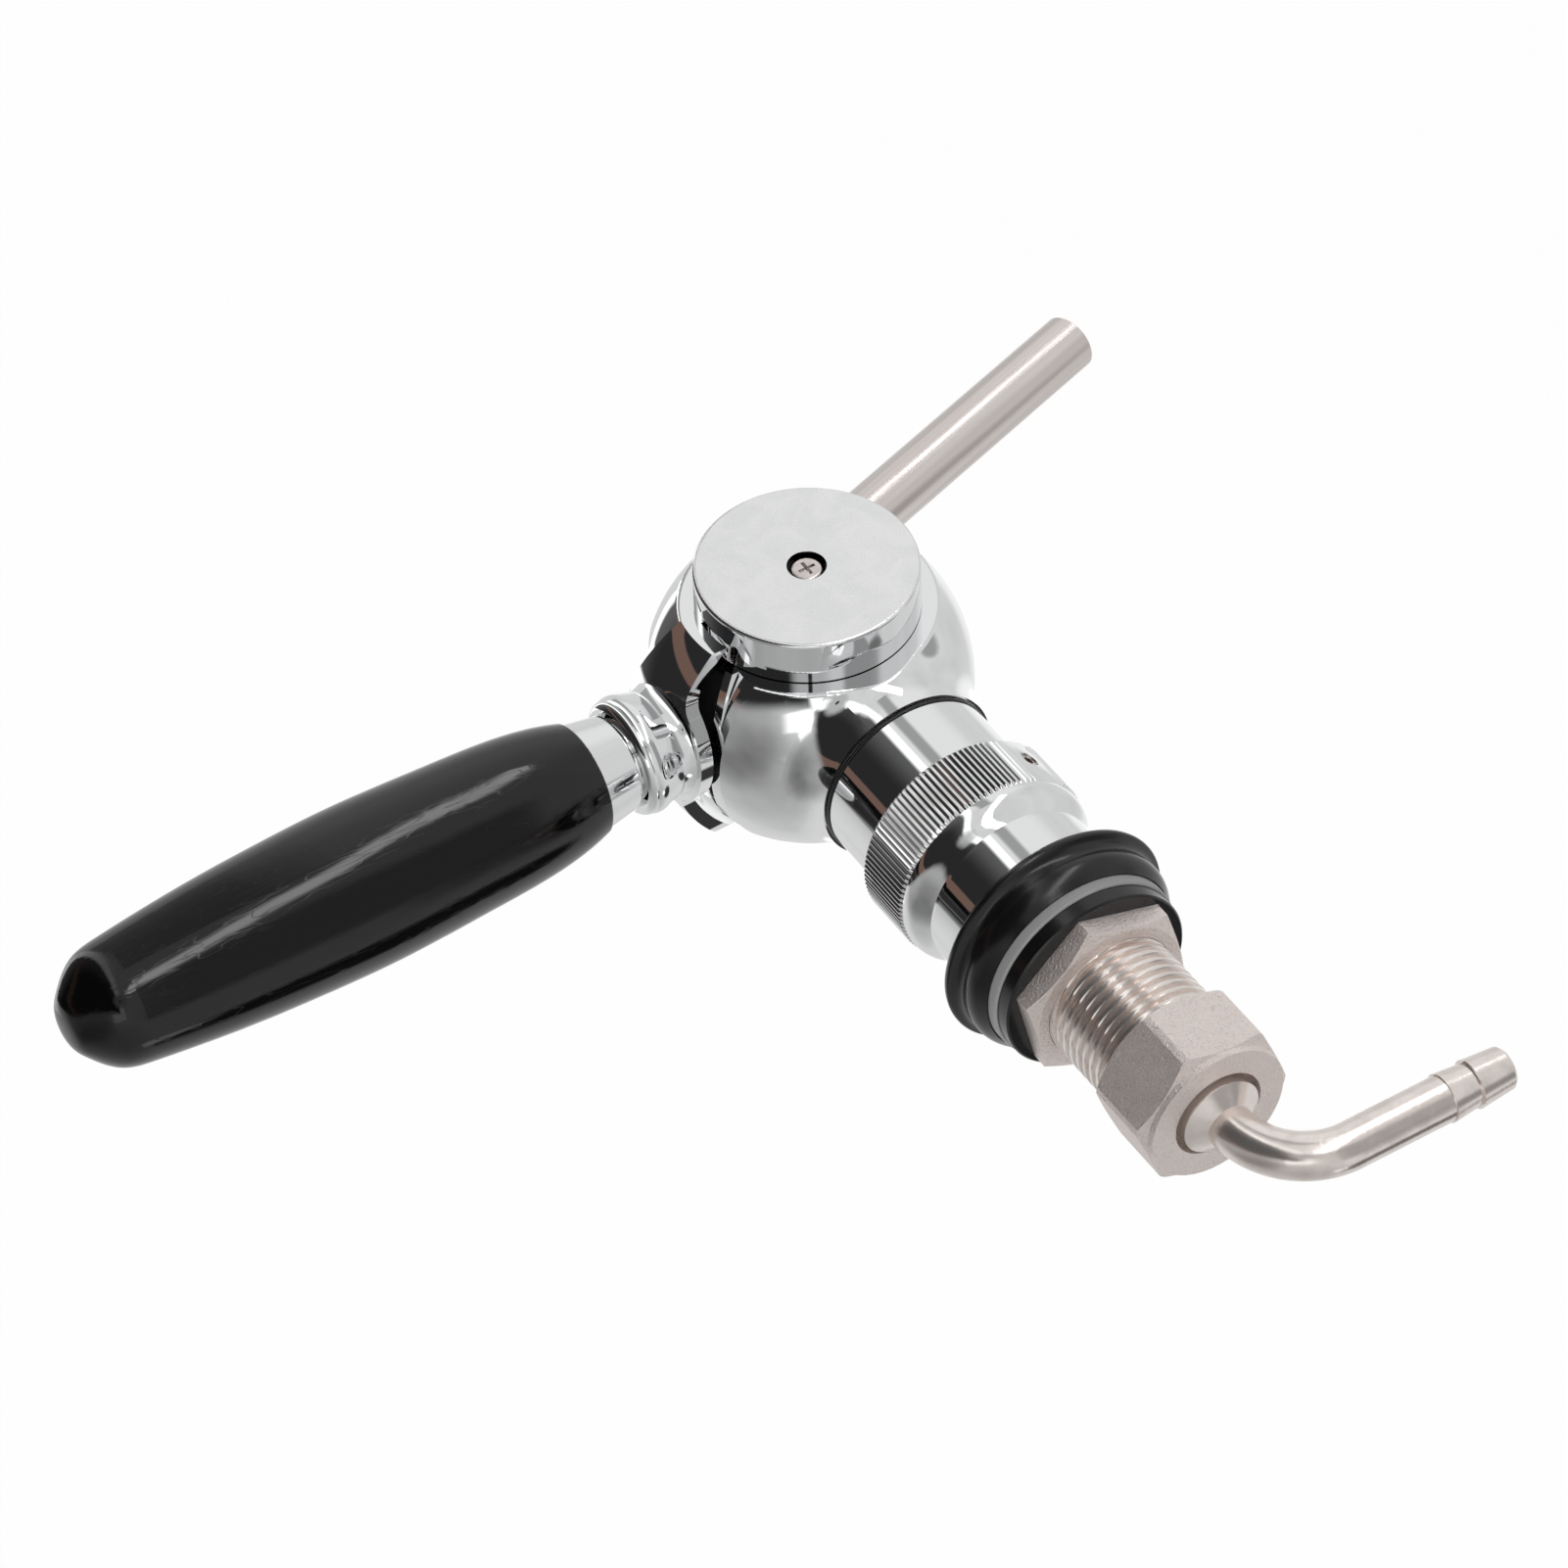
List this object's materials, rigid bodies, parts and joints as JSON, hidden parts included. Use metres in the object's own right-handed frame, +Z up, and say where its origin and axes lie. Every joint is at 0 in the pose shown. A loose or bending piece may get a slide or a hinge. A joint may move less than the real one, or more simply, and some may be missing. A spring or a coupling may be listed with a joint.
{
  "type": "beer tap",
  "caption": "Wall-mounted beer tap: ball body with round side caps, hooded lever and long grip, thin spout, knurled flow ring, threaded shank and bent hose tailpiece.",
  "frame": {"origin": "on the shank axis, at the wall side of the rubber flange", "axes": "+Y into the wall along the shank, +Z up along the handle, +X to the right seen from the front"},
  "size_m": [0.0476, 0.1832, 0.2207],
  "materials": {
    "chrome": "mirror polished",
    "satin_cap": "satin, fine grained",
    "spout_steel": "brushed along its length",
    "shank_nickel": "warm nickel plate",
    "nut_nickel": "nickel plate, blasted flats",
    "grip_black": "high gloss",
    "rubber_black": "satin",
    "washer_grey": "matte",
    "seal_white": "matte",
    "shutter_black": "matte",
    "screw_steel": "satin"
  },
  "bodies": {
    "housing": {"faucet_body": "chrome", "inlet_seal": "seal_white", "spout_tube": "spout_steel", "spout_o_ring": "rubber_black", "seam_o_ring": "rubber_black", "collar_sleeve": "chrome", "outlet_collar": "chrome", "shank_tube": "shank_nickel", "wall_flange": "rubber_black"},
    "lever": {"side_cap_left": "satin_cap", "side_cap_right": "satin_cap", "cap_screws": "screw_steel", "valve_plug": "shank_nickel", "plug_o_rings": "rubber_black", "slot_shutter": "shutter_black", "lever_hood": "chrome", "lever_stud": "screw_steel", "ferrule": "chrome", "handle_grip": "grip_black"},
    "flow_ring": {"flow_ring": "chrome", "flow_ring_screw": "screw_steel"},
    "compensator": {"compensator_cone": "seal_white", "cone_ring": "rubber_black", "cam_pin": "screw_steel"},
    "wall_clamp": {"grey_washer": "washer_grey", "black_gasket": "rubber_black"},
    "lock_nut": {"lock_nut": "nut_nickel"},
    "coupling_nut": {"coupling_nut": "nut_nickel"},
    "tailpiece": {"tailpiece": "shank_nickel", "tail_gasket": "rubber_black"}
  },
  "joints": [
    {"name": "lever_swing", "type": "hinge", "parent": "housing", "child": "lever", "pos_m": [0, -0.0765, 0.001], "axis": [1, 0, 0], "range_deg": [-5, 38]},
    {"name": "flow_ring_turn", "type": "hinge", "parent": "housing", "child": "flow_ring", "pos_m": [0, -0.0297, 0], "axis": [0, 1, 0], "range_deg": [-45, 45]},
    {"name": "compensator_slide", "type": "slide", "parent": "housing", "child": "compensator", "axis": [0, 1, 0], "range_m": [-0.003, 0.003]},
    {"name": "wall_clamp_slide", "type": "slide", "parent": "housing", "child": "wall_clamp", "axis": [0, 1, 0], "range_m": [0, 0.00907]},
    {"name": "lock_nut_turn", "type": "hinge", "parent": "wall_clamp", "child": "lock_nut", "pos_m": [0, 0.0067, 0], "axis": [0, 1, 0], "range_deg": [0, 1800]},
    {"name": "coupling_nut_turn", "type": "hinge", "parent": "housing", "child": "coupling_nut", "pos_m": [0, 0.031, 0], "axis": [0, 1, 0], "continuous": true},
    {"name": "tailpiece_swivel", "type": "hinge", "parent": "housing", "child": "tailpiece", "pos_m": [0, 0.035, 0], "axis": [0, 1, 0], "continuous": true}
  ],
  "couplings": [
    {"joint": "compensator_slide", "follows": "flow_ring_turn", "m_per_rad": 0.0038197},
    {"joint": "wall_clamp_slide", "follows": "lock_nut_turn", "m_per_rad": 0.00028871}
  ]
}
